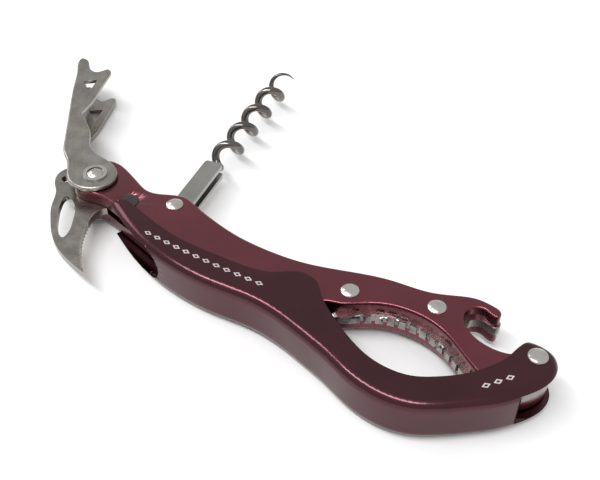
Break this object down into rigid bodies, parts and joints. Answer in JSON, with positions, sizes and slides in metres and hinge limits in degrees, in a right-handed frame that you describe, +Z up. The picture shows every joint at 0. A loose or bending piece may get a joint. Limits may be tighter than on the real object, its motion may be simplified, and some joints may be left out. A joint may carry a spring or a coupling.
{
  "type": "waiters corkscrew",
  "caption": "Waiter's corkscrew with folding lever, worm and foil blade, a cap lifter and a hinged lower arm that closes a toothed jaw.",
  "frame": {"origin": "centre of the box at the level of the surface the tool lies on", "axes": "+X along the handle from the lever pivot to the arm pivot, +Y towards the handle's back and the open worm, +Z up along the pivots"},
  "size_m": [0.1738, 0.1028, 0.0144],
  "materials": {
    "plate_burgundy": "satin burgundy anodised",
    "arm_burgundy": "satin dark burgundy anodised",
    "core_steel": "blanked edge, satin",
    "spring_steel": "blued satin",
    "rivet_steel": "polished",
    "washer_nylon": "natural nylon",
    "catch_black": "matt black",
    "lever_steel": "tumbled satin",
    "blade_steel": "ground satin",
    "shank_steel": "satin",
    "worm_steel": "polished dark"
  },
  "bodies": {
    "handle": {"upper_plate": "plate_burgundy", "lower_plate": "plate_burgundy", "core_plate": "core_steel", "worm_spring": "spring_steel", "blade_stop_pin": "rivet_steel", "lever_pivot_pin": "rivet_steel", "worm_pivot_pin": "rivet_steel", "front_rivet": "rivet_steel", "rear_rivet": "rivet_steel", "arm_pivot_pin": "rivet_steel", "arm_catch_upper": "catch_black", "arm_catch_lower": "catch_black", "lever_washer_upper": "washer_nylon", "lever_washer_lower": "washer_nylon", "arm_washer_upper": "washer_nylon", "arm_washer_lower": "washer_nylon", "blade_washer_upper": "washer_nylon", "blade_washer_lower": "washer_nylon"},
    "arm": {"arm_channel": "arm_burgundy"},
    "lever": {"lever_channel": "lever_steel", "lever_ring_upper": "rivet_steel", "lever_ring_lower": "rivet_steel"},
    "blade": {"foil_blade": "blade_steel"},
    "worm_unit": {"worm_shank": "shank_steel", "worm": "worm_steel"}
  },
  "joints": [
    {"name": "lever_fold", "type": "hinge", "parent": "handle", "child": "lever", "pos_m": [-0.0457, -0.0236, 0.0072], "axis": [0, 0, 1], "range_deg": [-123, 0]},
    {"name": "worm_fold", "type": "hinge", "parent": "handle", "child": "worm_unit", "pos_m": [-0.0203, -0.0217, 0.0072], "axis": [0, 0, 1], "range_deg": [-95, 0]},
    {"name": "blade_fold", "type": "hinge", "parent": "handle", "child": "blade", "pos_m": [-0.0457, -0.0236, 0.0072], "axis": [0, 0, 1], "range_deg": [-60, 50]},
    {"name": "arm_open", "type": "hinge", "parent": "handle", "child": "arm", "pos_m": [0.0818, -0.0236, 0.0072], "axis": [0, 0, 1], "range_deg": [0, 60]}
  ],
  "couplings": [
    {"joint": "worm_fold", "follows": "lever_fold", "ratio": 0.76829}
  ]
}
